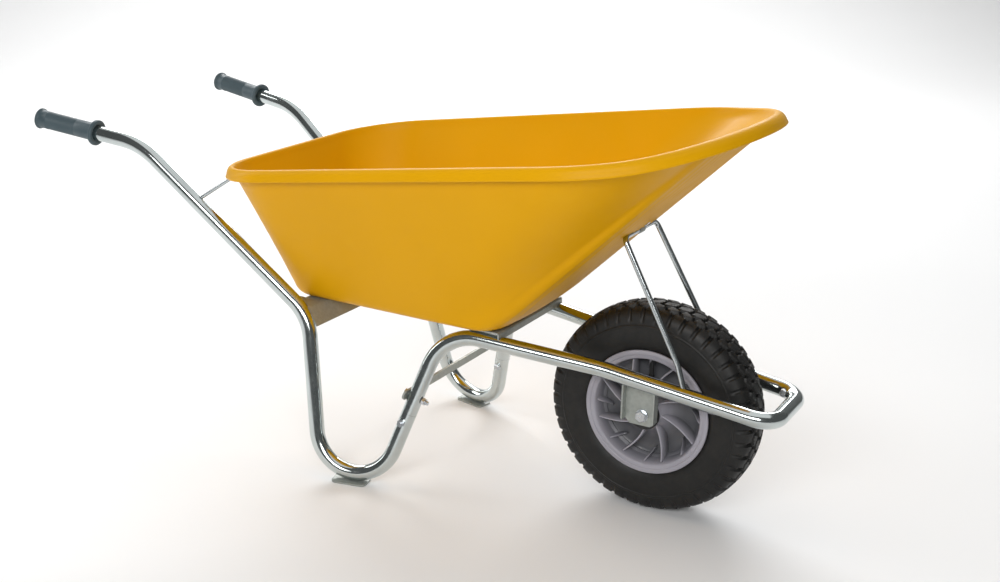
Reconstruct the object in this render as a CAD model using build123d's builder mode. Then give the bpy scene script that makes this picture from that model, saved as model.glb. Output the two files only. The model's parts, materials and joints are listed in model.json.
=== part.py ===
"""A steel-tube wheelbarrow with a moulded tray and one pneumatic wheel.

Millimetres, +X towards the nose, +Y to the barrow's left, +Z up. The origin is on the ground, in the middle
of the overall length. Lengths called from_axle are measured along X from the wheel axle.
"""

import os
from math import atan, cos, radians, sin, sqrt

from build123d import *

os.makedirs("parts", exist_ok=True)

# Wheel; each shoulder point is given as its depth below the crown and its inset from the sidewall
TYRE_OD = 400
TYRE_WIDTH = 100
TYRE_CARCASS = 6
TREAD_DEPTH = 7
SIDEWALL_BULGE = 36
SHOULDER = [(20, 1.5), (9, 5), (4, 12)]
RIM_FLANGE_OD = 238
RIM_WIDTH = 94
BEAD_SEAT_OD = 204
RIM_WALL = 5
HUB_OD = 50
HUB_LENGTH = 104
RIB_COUNT = 8
RIB_THICKNESS = 4
RIB_SWEEP = -24
RIB_BOW = 0.65
RIB_OFFSET = -2
RIB_DEPTH = 34
SHORT_RIB_START = 58
WELL_DEPTH = 10
WELL_HALF_WIDTH = 16
WELL_RAMP = 8
FLANGE_ROOT = 7
BEAD_TAPER = 1
BUSH_OD = 30
BUSH_FLANGE_OD = 60
BUSH_FLANGE = 3
BUSH_LENGTH = 24
INNER_TUBE_WALL = 2
VALVE_DIAMETER = 8
VALVE_LENGTH = 34
VALVE_OFFSET = 29
AXLE_DIAMETER = 12

# Tube frame: the right-hand side is laid out, the left is its mirror image
TUBE_OD = 30
TUBE_WALL = 2
GRIP_END = Vector(-1270, -280, 648)
GRIP_BEND = Vector(-1023, -246, 615)
REAR_BEND = Vector(-649, -200, 309)
FOOT_REAR = Vector(-593, -251, 0)
FOOT_FRONT = Vector(-463, -221, 0)
FRONT_BEND = Vector(-380, -133, 311)
WAIST = Vector(-69, -91, 285)
NOSE_CORNER = Vector(243, -79, 245)
GRIP_BEND_RADIUS = 150
REAR_BEND_RADIUS = 110
FOOT_RADIUS = 84
FRONT_BEND_RADIUS = 92
WAIST_RADIUS = 300
NOSE_RADIUS = 42
SKID_THICKNESS = 4
SKID_LENGTH = 72
SKID_WIDTH = 42
JOINT_HEIGHT = 148
SPIGOT_LENGTH = 60
JOINT_BOLT_DROP = 20

# Grips
GRIP_LENGTH = 146
GRIP_OD = 36
GRIP_END_OD = 42
GRIP_END_FLANGE = 7
GRIP_GUARD_OD = 52
GRIP_GUARD = 11
GRIP_RECESS = 6
GRIP_ROUND = 2.5

# Tray
TRAY_WALL = 5
FLOOR_HEIGHT = 326
FLOOR_FRONT = -262
FLOOR_REAR = -704
FLOOR_FRONT_HALF_WIDTH = 152
FLOOR_REAR_HALF_WIDTH = 150
FLOOR_NOSE_RADIUS = 1100
FLOOR_FRONT_CORNER = 50
FLOOR_REAR_CORNER = 50
FLOOR_EDGE_RADIUS = 36
RIM_HEIGHT_AT_AXLE = 709
RIM_RISE = 0.138
TRAY_FRONT = 145
TRAY_REAR = -826
TRAY_FRONT_HALF_WIDTH = 306
TRAY_REAR_HALF_WIDTH = 286
TRAY_NOSE_RADIUS = 380
TRAY_FRONT_CORNER = 130
TRAY_REAR_CORNER = 140
LIP_WIDTH = 14
LIP_DEPTH = 21
LIP_WALL = 3.5
LIP_ROUND = 9

# Crossmembers, brace, stays and strut
PLATE = 3
SADDLE_REAR = -694
SADDLE_FOLD = -652
SADDLE_BEND = 8
WEB_FOOT = Vector(-629, 0, 291)
SADDLE_HALF_LENGTH = 150
FLARE_REAR = Vector(-684, 0, 346)
FRONT_PLATE_REAR = -325
FRONT_PLATE_FRONT = -265
FRONT_PLATE_FLANGE = 15
FRONT_PLATE_HALF_LENGTH = 128
BRACE_HEIGHT = 180
BRACE_BAR = 20
BRACE_THICKNESS = 4
BRACE_OVERHANG = 20
STRUT_DIAMETER = 10
STRUT_TOP_HALF_WIDTH = 69
STRUT_TOP = -50
STRUT_BEND_RADIUS = 14
STRUT_KINK = Vector(69, -80, 316)
STRUT_KINK_RADIUS = 60
STRUT_FOOT = 87
CLAMP_PLATE = 2
CLAMP_TAB = 27
CLAMP_WIDTH = 16
CLAMP_BOLT_OFFSET = 17
STAY_DIAMETER = 7
STAY_FOOT = -898
STAY_TURN = 40
STAY_DROP = 22

# Wheel brackets
BRACKET_INNER_GAP = 118
BRACKET_WIDTH = 64
BRACKET_DROP = 20
BRACKET_FLANGE = 18
BRACKET_SHIFT = -4
BRACKET_CHAMFER = 12

# Fasteners
M8 = 8
M8_FLATS = 13
M8_HEAD = 5.5
M8_NUT = 6.5
M8_WASHER_OD = 18
M8_WASHER = 1.6
M12_FLATS = 19
M12_HEAD = 7.5
M12_NUT = 10
M12_WASHER_OD = 24
M12_WASHER = 2.5
SLEEVE_OD = 20
CARRIAGE_HEAD_OD = 20
CARRIAGE_HEAD = 4.5
CARRIAGE_ROUND = 4
TRAY_BOLT_SPREAD = 70
TRAY_BOLT_FRONT = -300
TRAY_BOLT_REAR = -668
NOSE_RIVET_HEAD = 16
NOSE_RIVET_REACH = 216

# Clearances
WELD_GAP = 0.1
SEAT_GAP = 0.3
HOLE_GAP = 0.3
RUNNING_GAP = 0.05
SPIGOT_GAP = 0.1

# Places that follow from the sizes above
tube_radius = TUBE_OD / 2
tube_bore = tube_radius - TUBE_WALL
axle_height = TYRE_OD / 2
foot_height = SKID_THICKNESS + SEAT_GAP + tube_radius
grip_axis = (GRIP_BEND - GRIP_END).normalized()
grip_reach = GRIP_END_OD / 2 * sqrt(1 - grip_axis.X**2)
axle_x = -(GRIP_END.X - grip_reach + NOSE_CORNER.X + tube_radius) / 2
wheel_centre = Vector(axle_x, 0, axle_height)
bracket_inner = BRACKET_INNER_GAP / 2
bracket_outer = bracket_inner + PLATE

# The tyre's inner space, and the foot of the valve
cavity_centre = (BEAD_SEAT_OD + TYRE_OD) / 4 - TYRE_CARCASS / 2
cavity_reach = TYRE_OD / 2 - TREAD_DEPTH - TYRE_CARCASS - cavity_centre
cavity_half = TYRE_WIDTH / 2 - TYRE_CARCASS
valve_root = wheel_centre + Vector(0, -VALVE_OFFSET, BEAD_SEAT_OD / 2 + SEAT_GAP)


def place(point, height=None):
    """Moves a point measured from the axle into the barrow's frame."""
    return Vector(axle_x + point.X, point.Y, point.Z if height is None else height)


def flipped(point):
    """The same point on the other side of the barrow."""
    return Vector(point.X, -point.Y, point.Z)


def between(start, end, share):
    """The point that lies a share of the way from start to end."""
    return start + (end - start) * share


def at_height(start, end, height):
    """The point of the line from start to end at a height."""
    return between(start, end, (height - start.Z) / (end.Z - start.Z))


def at_reach(start, end, x):
    """The point of the line from start to end at a distance along X."""
    return between(start, end, (x - start.X) / (end.X - start.X))


def round_corner(end, half_width, corner, turn, height):
    """A point on the round rear corner of an outline, turned sideways from straight back by an angle."""
    x = end + corner - corner * cos(radians(turn))
    return Vector(axle_x + x, corner - half_width - corner * sin(radians(turn)), height)


def both_sides(solid):
    """A solid and its mirror image on the other side of the barrow."""
    return [solid, mirror(solid, about=Plane.XZ, mode=Mode.PRIVATE)]


def mirrored(piece):
    """The same piece on the other side of the barrow."""
    with BuildPart() as other:
        add(piece.part)
        mirror(about=Plane.XZ, mode=Mode.REPLACE)
    return other


def rod(points, bends, radius, bore=0):
    """A round rod, or a tube if it has a bore, along straight runs joined by bends."""
    with BuildPart() as bar:
        with BuildLine() as path:
            if bends:
                FilletPolyline(*points, radius=bends)
            else:
                Polyline(*points)
        with BuildSketch(Plane(origin=path.line @ 0, z_dir=path.line % 0)):
            Circle(radius)
            if bore:
                Circle(bore, mode=Mode.SUBTRACT)
        sweep(path=path.line)
    return bar.part


def pin(start, direction, radius, length):
    """A plain round pin."""
    with BuildPart() as shank:
        with BuildSketch(Plane(origin=start, z_dir=direction)):
            Circle(radius)
        extrude(amount=length)
    return shank.part


def polar(reach, turn):
    """The flat point at a distance and an angle from the wheel centre."""
    return (reach * cos(radians(turn)), reach * sin(radians(turn)))


def hex_bolt(seat, direction, size, flats, head, length):
    """A hexagon bolt: its head stands on the seat, against the direction its shank points."""
    with BuildPart() as bolt:
        with BuildSketch(Plane(origin=seat, z_dir=direction)):
            Circle(size / 2)
        extrude(amount=length)
        with BuildSketch(Plane(origin=seat, z_dir=direction)):
            RegularPolygon(radius=flats / 2, side_count=6, major_radius=False)
        extrude(amount=-head)
        chamfer(bolt.faces().sort_by(Axis(seat, direction))[0].edges(), length=head / 8)
    return bolt.part


def hex_nut(seat, direction, size, flats, height):
    """A hexagon nut standing on the seat."""
    with BuildPart() as nut:
        with BuildSketch(Plane(origin=seat, z_dir=direction)):
            RegularPolygon(radius=flats / 2, side_count=6, major_radius=False)
            Circle(size / 2 + RUNNING_GAP, mode=Mode.SUBTRACT)
        extrude(amount=height)
    return nut.part


def ring(seat, direction, inner, outer, height):
    """A washer, spacer or sleeve standing on the seat."""
    with BuildPart() as washer:
        with BuildSketch(Plane(origin=seat, z_dir=direction)):
            Circle(outer)
            Circle(inner, mode=Mode.SUBTRACT)
        extrude(amount=height)
    return washer.part


# The tube route, from the grip to the nose
grip_end = place(GRIP_END)
grip_bend = place(GRIP_BEND)
rear_bend = place(REAR_BEND)
foot_rear = place(FOOT_REAR, foot_height)
foot_front = place(FOOT_FRONT, foot_height)
front_bend = place(FRONT_BEND)
waist = place(WAIST)
nose_corner = place(NOSE_CORNER)
joint = at_height(foot_front, front_bend, JOINT_HEIGHT)
limb_axis = (front_bend - foot_front).normalized()
tube_end = grip_end + grip_axis * (GRIP_END_FLANGE + SEAT_GAP)

# Rods that pass through the tube walls
strut_top = Vector(axle_x + STRUT_TOP, -STRUT_TOP_HALF_WIDTH, 0)
tray_front_slope = (RIM_HEIGHT_AT_AXLE + RIM_RISE * TRAY_FRONT - FLOOR_HEIGHT) / (TRAY_FRONT - FLOOR_FRONT)
strut_standoff = (STRUT_DIAMETER / 2 + SEAT_GAP) / cos(atan(tray_front_slope))
strut_top.Z = FLOOR_HEIGHT + tray_front_slope * (STRUT_TOP - FLOOR_FRONT) - strut_standoff
strut_kink = place(STRUT_KINK)
strut_entry = at_reach(waist, nose_corner, axle_x + STRUT_FOOT)
strut_points = [strut_entry, strut_kink, strut_top]
strut_points += [flipped(point) for point in reversed(strut_points)]
strut_bends = [STRUT_KINK_RADIUS, STRUT_BEND_RADIUS, STRUT_BEND_RADIUS, STRUT_KINK_RADIUS]
stay_foot = at_reach(rear_bend, grip_bend, axle_x + STAY_FOOT)
rear_rim_height = RIM_HEIGHT_AT_AXLE + RIM_RISE * (TRAY_REAR + TRAY_REAR_CORNER / 2)
stay_share = (rear_rim_height - STAY_DROP - FLOOR_HEIGHT) / (rear_rim_height - FLOOR_HEIGHT)
stay_floor = round_corner(FLOOR_REAR, FLOOR_REAR_HALF_WIDTH, FLOOR_REAR_CORNER, STAY_TURN, FLOOR_HEIGHT)
stay_rim = round_corner(TRAY_REAR, TRAY_REAR_HALF_WIDTH, TRAY_REAR_CORNER, STAY_TURN, rear_rim_height)
stay_seat = between(stay_floor, stay_rim, stay_share)
stay_top = stay_seat + (stay_seat - stay_foot).normalized() * 2 * STAY_DIAMETER

handle_route = [tube_end, grip_bend, rear_bend, foot_rear, foot_front, joint]
handle_bends = [GRIP_BEND_RADIUS, REAR_BEND_RADIUS, FOOT_RADIUS, FOOT_RADIUS]
loop_half = [joint + limb_axis * SEAT_GAP, front_bend, waist, nose_corner]
loop_route = loop_half + [flipped(point) for point in reversed(loop_half)]
loop_bends = [FRONT_BEND_RADIUS, WAIST_RADIUS, NOSE_RADIUS, NOSE_RADIUS, WAIST_RADIUS, FRONT_BEND_RADIUS]
handle_envelope = rod(handle_route, handle_bends, tube_radius + WELD_GAP)
loop_envelope = rod(loop_route, loop_bends, tube_radius + WELD_GAP)

# Directions square to the front limbs: forwards along the barrow, and outwards on the right-hand side
forward = Vector(limb_axis.Z, 0, -limb_axis.X).normalized()
outward = limb_axis.cross(forward).normalized()
inward = Vector(0, 1, 0)
outward_y = Vector(0, -1, 0)
joint_bolt = joint - limb_axis * JOINT_BOLT_DROP
brace_centre = at_height(foot_front, front_bend, BRACE_HEIGHT)
rivet_centre = at_reach(waist, nose_corner, axle_x + NOSE_RIVET_REACH)

# Frame tubes
with BuildPart() as right_handle_tube:
    add(rod(handle_route, handle_bends, tube_radius, tube_bore))
    add(pin(joint_bolt - outward * TUBE_OD, outward, M8 / 2 + HOLE_GAP, 2 * TUBE_OD), mode=Mode.SUBTRACT)
    add(pin(brace_centre - forward * TUBE_OD, forward, M8 / 2 + HOLE_GAP, 2 * TUBE_OD), mode=Mode.SUBTRACT)
    add(rod([stay_foot, stay_top], [], STAY_DIAMETER / 2 + HOLE_GAP), mode=Mode.SUBTRACT)
left_handle_tube = mirrored(right_handle_tube)

spigot = tube_bore - SPIGOT_GAP
loop_end = joint - limb_axis * SPIGOT_LENGTH
spigot_tube = ring(loop_end, limb_axis, spigot - TUBE_WALL, spigot, SPIGOT_LENGTH + TUBE_OD)
spigot_root = ring(joint + limb_axis * SEAT_GAP, limb_axis, spigot - TUBE_WALL, tube_bore + SPIGOT_GAP,
                   TUBE_OD)
spigot_hole = pin(joint_bolt - outward * TUBE_OD, outward, M8 / 2 + HOLE_GAP, 2 * TUBE_OD)
brace_hole = pin(brace_centre - forward * TUBE_OD, forward, M8 / 2 + HOLE_GAP, 2 * TUBE_OD)
strut_hole = rod([strut_entry, strut_kink], [], STRUT_DIAMETER / 2 + HOLE_GAP)
rivet_hole = pin(rivet_centre, inward, M8 / 2 + HOLE_GAP, TUBE_OD)
with BuildPart() as front_loop_tube:
    add(rod(loop_route, loop_bends, tube_radius, tube_bore))
    add(both_sides(spigot_tube))
    add(both_sides(spigot_root))
    for hole in (spigot_hole, brace_hole, strut_hole, rivet_hole):
        add(both_sides(hole), mode=Mode.SUBTRACT)

# Grips: closed at the rear, with a hand guard at the front
guard_plane = Plane(origin=grip_end + grip_axis * (GRIP_LENGTH - GRIP_GUARD), z_dir=grip_axis)
with BuildPart() as right_grip:
    with BuildSketch(Plane(origin=grip_end, z_dir=grip_axis)):
        Circle(GRIP_END_OD / 2)
    extrude(amount=GRIP_END_FLANGE)
    with BuildSketch(Plane(origin=grip_end, z_dir=grip_axis)):
        Circle(GRIP_OD / 2)
    extrude(amount=GRIP_LENGTH)
    with BuildSketch(guard_plane):
        Circle(GRIP_GUARD_OD / 2)
    extrude(amount=GRIP_GUARD)
    fillet(right_grip.edges().filter_by(GeomType.CIRCLE).group_by(SortBy.RADIUS)[-1],
           radius=GRIP_ROUND)
    with BuildSketch(guard_plane.offset(GRIP_GUARD - GRIP_RECESS)):
        Circle(GRIP_GUARD_OD / 2 - PLATE)
    extrude(amount=GRIP_RECESS, mode=Mode.SUBTRACT)
    add(pin(grip_end + grip_axis * GRIP_END_FLANGE, grip_axis, tube_radius + WELD_GAP, GRIP_LENGTH),
        mode=Mode.SUBTRACT)
left_grip = mirrored(right_grip)


def tray_outline(plane, front, rear, front_width, rear_width, nose_radius, front_corner, rear_corner):
    """An outline of the tray: straight sides and back, and a bowed front."""
    side_end = front - nose_radius + sqrt(nose_radius**2 - front_width**2)
    with BuildSketch(plane) as outline:
        with BuildLine():
            Polyline((side_end, front_width), (rear, rear_width), (rear, -rear_width),
                     (side_end, -front_width))
            ThreePointArc((side_end, -front_width), (front, 0), (side_end, front_width))
        make_face()
        fillet(outline.vertices().group_by(Axis.X)[0], radius=rear_corner)
        fillet(outline.vertices().group_by(Axis.X)[-1].filter_by(lambda v: abs(v.Y) > front_width / 2),
               radius=front_corner)
    return outline.sketch


rim_angle = atan(RIM_RISE)
rim_plane = Plane(origin=(axle_x, 0, RIM_HEIGHT_AT_AXLE), x_dir=(1, 0, RIM_RISE), z_dir=(-RIM_RISE, 0, 1))
floor_plane = Plane(origin=(axle_x, 0, FLOOR_HEIGHT))


def rim_outline(inset, drop=0):
    """The tray's outline at the rim, moved inwards, and down if it has a drop."""
    front, rear = (x / cos(rim_angle) for x in (TRAY_FRONT, TRAY_REAR))
    return tray_outline(rim_plane.offset(-drop), front - inset, rear + inset, TRAY_FRONT_HALF_WIDTH - inset,
                        TRAY_REAR_HALF_WIDTH - inset, TRAY_NOSE_RADIUS - inset,
                        TRAY_FRONT_CORNER - inset, TRAY_REAR_CORNER - inset)


def floor_outline(inset):
    """The tray's outline at the floor, moved inwards, and up by the same amount."""
    return tray_outline(floor_plane.offset(inset), FLOOR_FRONT - inset, FLOOR_REAR + inset,
                        FLOOR_FRONT_HALF_WIDTH - inset, FLOOR_REAR_HALF_WIDTH - inset,
                        FLOOR_NOSE_RADIUS - inset, FLOOR_FRONT_CORNER - inset, FLOOR_REAR_CORNER - inset)


def tray_body(inset):
    """The tray's space: its outside, or its inside if it is moved inwards by the wall."""
    with BuildPart() as body:
        add(floor_outline(inset))
        add(rim_outline(inset))
        loft(ruled=True)
        fillet(body.faces().sort_by(Axis.Z)[0].edges(), radius=FLOOR_EDGE_RADIUS - inset)
    return body.part


# Tray: a moulded shell whose rim turns outwards and down
tray_bolt_seats = [Vector(axle_x + reach, -TRAY_BOLT_SPREAD, FLOOR_HEIGHT)
                   for reach in (TRAY_BOLT_FRONT, TRAY_BOLT_REAR)]
up = Vector(0, 0, 1)
down = Vector(0, 0, -1)
up_slope = Vector(1, 0, tray_front_slope).normalized()
into_tray = Vector(-tray_front_slope, 0, 1).normalized()
rod_centre = Vector(strut_top.X, 0, strut_top.Z)
wall_face = rod_centre + into_tray * (STRUT_DIAMETER / 2 + SEAT_GAP)
clamp_bolt = wall_face + up_slope * CLAMP_BOLT_OFFSET
inner_floor = Vector(axle_x + FLOOR_FRONT - TRAY_WALL, 0, FLOOR_HEIGHT + TRAY_WALL)
inner_rim_reach = TRAY_FRONT - TRAY_WALL
inner_rim = Vector(axle_x + inner_rim_reach, 0, RIM_HEIGHT_AT_AXLE + RIM_RISE * inner_rim_reach)
inner_normal = outward_y.cross(inner_rim - inner_floor).normalized()
front_wall = (inner_floor - clamp_bolt).dot(inner_normal) / into_tray.dot(inner_normal)

with BuildPart() as tray:
    add(tray_body(0))
    extrude(rim_outline(-LIP_WIDTH), amount=-LIP_DEPTH, dir=rim_plane.z_dir)
    extrude(rim_outline(LIP_WALL - LIP_WIDTH, LIP_WALL), amount=-LIP_DEPTH, dir=rim_plane.z_dir,
            mode=Mode.SUBTRACT)
    rim_top = tray.faces().filter_by(lambda f: f.normal_at().dot(rim_plane.z_dir) > 0.999).sort_by(Axis.Z)[-1]
    fillet(rim_top.outer_wire().edges(), radius=LIP_ROUND)
    add(tray_body(0))
    add(tray_body(TRAY_WALL), mode=Mode.SUBTRACT)
    for seat in tray_bolt_seats:
        add(both_sides(pin(seat, up, M8 / 2 + HOLE_GAP, 2 * TRAY_WALL)), mode=Mode.SUBTRACT)
    add(pin(clamp_bolt - into_tray * M8, into_tray, M8 / 2 + HOLE_GAP, 3 * M8), mode=Mode.SUBTRACT)

# Crossmembers under the tray
saddle = FLOOR_HEIGHT - SEAT_GAP - PLATE / 2
bolt_reach = SEAT_GAP + PLATE + 2 * M8_NUT


def web_section(plane, rear, rear_height, fold_height):
    """The rear crossmember's section: a flange under the tray, a fold and a web that leans forward."""
    with BuildSketch(plane) as section:
        with BuildLine():
            FilletPolyline((axle_x + rear, rear_height), (axle_x + SADDLE_FOLD, fold_height),
                           (axle_x + WEB_FOOT.X, WEB_FOOT.Z), radius=SADDLE_BEND)
        trace(line_width=PLATE)
    return section.sketch


saddle_end = Plane.XZ.offset(SADDLE_HALF_LENGTH)
flare_end = Plane.XZ.offset(abs(REAR_BEND.Y))
with BuildPart() as rear_crossmember:
    extrude(web_section(saddle_end, SADDLE_REAR, saddle, saddle), amount=2 * SADDLE_HALF_LENGTH, dir=inward)
    add(web_section(saddle_end, SADDLE_REAR, saddle, saddle))
    add(web_section(flare_end, FLARE_REAR.X, FLARE_REAR.Z, saddle))
    loft(ruled=True)
    mirror(about=Plane.XZ)
    add(both_sides(handle_envelope), mode=Mode.SUBTRACT)
    add(both_sides(pin(tray_bolt_seats[1], down, M8 / 2 + HOLE_GAP, bolt_reach)), mode=Mode.SUBTRACT)

front_flange_foot = FLOOR_HEIGHT - SEAT_GAP - FRONT_PLATE_FLANGE
front_plate_rear = axle_x + FRONT_PLATE_REAR
front_plate_front = axle_x + FRONT_PLATE_FRONT
with BuildPart() as front_crossmember:
    with BuildSketch(Plane.XZ.offset(FRONT_PLATE_HALF_LENGTH)):
        with BuildLine():
            FilletPolyline((front_plate_rear, front_flange_foot), (front_plate_rear, saddle),
                           (front_plate_front, saddle), (front_plate_front, front_flange_foot), radius=PLATE)
        trace(line_width=PLATE)
    extrude(amount=-2 * FRONT_PLATE_HALF_LENGTH)
    add(loop_envelope, mode=Mode.SUBTRACT)
    add(both_sides(pin(tray_bolt_seats[0], down, M8 / 2 + HOLE_GAP, bolt_reach)), mode=Mode.SUBTRACT)

# Leg brace: a flat bar across the back of the front limbs
brace_seat = brace_centre - forward * (tube_radius + SEAT_GAP)
brace_half_length = abs(brace_centre.Y) + BRACE_OVERHANG
with BuildPart() as leg_brace:
    with BuildSketch(Plane(origin=(brace_seat.X, 0, brace_seat.Z), x_dir=(0, 1, 0), z_dir=forward)):
        SlotOverall(2 * brace_half_length, BRACE_BAR)
    extrude(amount=-BRACE_THICKNESS)
    brace_bar_hole = pin(brace_seat + forward, -forward, M8 / 2 + HOLE_GAP, 2 * BRACE_THICKNESS)
    add(both_sides(brace_bar_hole), mode=Mode.SUBTRACT)

# Skids under the feet
foot_axis = Vector(foot_front.X - foot_rear.X, foot_front.Y - foot_rear.Y, 0).normalized()
skid_centre = (foot_rear + foot_front) * 0.5
with BuildPart() as right_foot_skid:
    with BuildSketch(Plane(origin=(skid_centre.X, skid_centre.Y, 0), x_dir=foot_axis, z_dir=up)):
        RectangleRounded(SKID_LENGTH, SKID_WIDTH, SKID_WIDTH / 4)
    extrude(amount=SKID_THICKNESS)
    fillet(right_foot_skid.faces().sort_by(Axis.Z)[0].edges(), radius=SKID_THICKNESS / 3)
left_foot_skid = mirrored(right_foot_skid)

# Strut over the wheel, and the clamp that holds it against the tray
with BuildPart() as front_tray_strut:
    add(rod(strut_points, strut_bends, STRUT_DIAMETER / 2))

clamp_bore = STRUT_DIAMETER / 2 + SEAT_GAP
with BuildPart() as strut_clamp:
    with BuildSketch(Plane(origin=rod_centre, x_dir=up_slope, z_dir=outward_y)):
        Circle(clamp_bore + CLAMP_PLATE)
        with Locations((CLAMP_TAB / 2, clamp_bore - CLAMP_PLATE / 2)):
            Rectangle(CLAMP_TAB, CLAMP_PLATE)
        Circle(clamp_bore, mode=Mode.SUBTRACT)
        with Locations((0, clamp_bore - WELD_GAP + CLAMP_PLATE)):
            Rectangle(4 * CLAMP_TAB, 2 * CLAMP_PLATE, mode=Mode.SUBTRACT)
    extrude(amount=CLAMP_WIDTH / 2, both=True)
    add(pin(clamp_bolt - into_tray * M8, into_tray, M8 / 2 + HOLE_GAP, 2 * M8), mode=Mode.SUBTRACT)

# Rear stays: from the handle tubes up to the tray's corners, cut to the slope of its wall
with BuildPart() as right_tray_stay:
    add(rod([stay_foot, stay_top], [], STAY_DIAMETER / 2))
    add(tray_body(-SEAT_GAP), mode=Mode.SUBTRACT)
left_tray_stay = mirrored(right_tray_stay)

# Wheel brackets: channels that open outwards, welded up under the tubes
bracket_top = at_reach(waist, nose_corner, axle_x).Z
bracket_face = Plane.XZ.offset(bracket_inner)
bracket_middle = (axle_x + BRACKET_SHIFT, (axle_height - BRACKET_DROP + bracket_top) / 2)
bracket_height = bracket_top - axle_height + BRACKET_DROP
with BuildPart() as right_wheel_bracket:
    with BuildSketch(bracket_face):
        with Locations(bracket_middle):
            Rectangle(BRACKET_WIDTH, bracket_height)
    extrude(amount=BRACKET_FLANGE)
    corners = right_wheel_bracket.edges().filter_by(Axis.Y).group_by(Axis.Z)[0]
    chamfer(corners, length=BRACKET_CHAMFER)
    with BuildSketch(bracket_face.offset(PLATE)):
        with Locations(bracket_middle):
            Rectangle(BRACKET_WIDTH - 2 * PLATE, 2 * bracket_height)
    extrude(amount=BRACKET_FLANGE, mode=Mode.SUBTRACT)
    add(loop_envelope, mode=Mode.SUBTRACT)
    add(pin(wheel_centre, outward_y, AXLE_DIAMETER / 2 + HOLE_GAP, BRACKET_INNER_GAP), mode=Mode.SUBTRACT)
left_wheel_bracket = mirrored(right_wheel_bracket)

# Axle: a bolt through both brackets, with washers, sleeves and a nut
washer_seat = wheel_centre + outward_y * (bracket_outer + SEAT_GAP / 3)
washer_stack = M12_WASHER + SEAT_GAP / 3
axle_length = 2 * (bracket_outer + washer_stack) + M12_NUT + M12_WASHER
bush_outer_face = HUB_LENGTH / 2 + SEAT_GAP / 3 + BUSH_FLANGE
sleeve_length = bracket_inner - bush_outer_face - 2 * SEAT_GAP
axle_head_seat = washer_seat + outward_y * washer_stack
with BuildPart() as axle_bolt:
    add(hex_bolt(axle_head_seat, inward, AXLE_DIAMETER, M12_FLATS, M12_HEAD, axle_length))
with BuildPart() as axle_nut:
    add(hex_nut(flipped(axle_head_seat), inward, AXLE_DIAMETER, M12_FLATS, M12_NUT))
with BuildPart() as axle_washers:
    add(both_sides(ring(washer_seat, outward_y, AXLE_DIAMETER / 2 + HOLE_GAP, M12_WASHER_OD / 2, M12_WASHER)))
with BuildPart() as axle_sleeves:
    add(both_sides(ring(wheel_centre + outward_y * (bush_outer_face + SEAT_GAP), outward_y,
                        AXLE_DIAMETER / 2 + HOLE_GAP, SLEEVE_OD / 2, sleeve_length)))

# Tray bolts: round heads on the tray floor, nuts under the crossmembers
floor_top = FLOOR_HEIGHT + TRAY_WALL
plate_underside = FLOOR_HEIGHT - SEAT_GAP - PLATE
with BuildPart() as tray_bolts:
    for seat in tray_bolt_seats:
        head_seat = Vector(seat.X, seat.Y, floor_top)
        with BuildPart(mode=Mode.PRIVATE) as head:
            with BuildSketch(Plane(origin=head_seat)):
                Circle(CARRIAGE_HEAD_OD / 2)
            extrude(amount=CARRIAGE_HEAD)
            fillet(head.faces().sort_by(Axis.Z)[-1].edges(), radius=CARRIAGE_ROUND)
        add(both_sides(head.part))
        add(both_sides(pin(head_seat, down, M8 / 2, TRAY_WALL + bolt_reach)))
with BuildPart() as tray_washers:
    for seat in tray_bolt_seats:
        under = Vector(seat.X, seat.Y, plate_underside)
        add(both_sides(ring(under, down, M8 / 2 + HOLE_GAP, M8_WASHER_OD / 2, M8_WASHER)))
with BuildPart() as tray_nuts:
    for seat in tray_bolt_seats:
        under = Vector(seat.X, seat.Y, plate_underside - M8_WASHER)
        add(both_sides(hex_nut(under, down, M8, M8_FLATS, M8_NUT)))

# Cross bolts in the legs
joint_seat = joint_bolt + outward * (tube_radius + SEAT_GAP)
joint_grip = 2 * (tube_radius + SEAT_GAP)
with BuildPart() as leg_joint_bolts:
    add(both_sides(hex_bolt(joint_seat, -outward, M8, M8_FLATS, M8_HEAD, joint_grip + 2 * M8_NUT)))
with BuildPart() as leg_joint_nuts:
    add(both_sides(hex_nut(joint_seat - outward * joint_grip, -outward, M8, M8_FLATS, M8_NUT)))
brace_back = brace_seat - forward * (BRACE_THICKNESS + SEAT_GAP / 3)
brace_grip = BRACE_THICKNESS + 2 * tube_radius + 3 * SEAT_GAP
with BuildPart() as brace_bolts:
    add(both_sides(hex_bolt(brace_back, forward, M8, M8_FLATS, M8_HEAD, brace_grip + 2 * M8_NUT)))
with BuildPart() as brace_nuts:
    add(both_sides(hex_nut(brace_back + forward * brace_grip, forward, M8, M8_FLATS, M8_NUT)))

# Rivets on the inner side of the nose, and the clamp bolt through the tray's front wall
rivet_seat = rivet_centre + inward * (tube_radius + SEAT_GAP)
with BuildPart() as nose_rivets:
    add(both_sides(pin(rivet_seat, inward, NOSE_RIVET_HEAD / 2, M8_HEAD)))
    add(both_sides(pin(rivet_seat, outward_y, M8 / 2, tube_radius)))
    fillet(nose_rivets.faces().filter_by(Axis.Y).group_by(SortBy.DISTANCE)[0].edges(), radius=M8_HEAD / 2)
tab_face = clamp_bolt - into_tray * (CLAMP_PLATE + SEAT_GAP)
inner_wall_face = clamp_bolt + into_tray * (front_wall + SEAT_GAP)
with BuildPart() as strut_clamp_bolt:
    add(hex_bolt(tab_face, into_tray, M8, M8_FLATS, M8_HEAD, CLAMP_PLATE + front_wall + 3 * M8_NUT))
with BuildPart() as strut_clamp_nut:
    add(ring(inner_wall_face, into_tray, M8 / 2 + HOLE_GAP, M8_WASHER_OD / 2, M8_WASHER))
    add(hex_nut(inner_wall_face + into_tray * M8_WASHER, into_tray, M8, M8_FLATS, M8_NUT))

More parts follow.
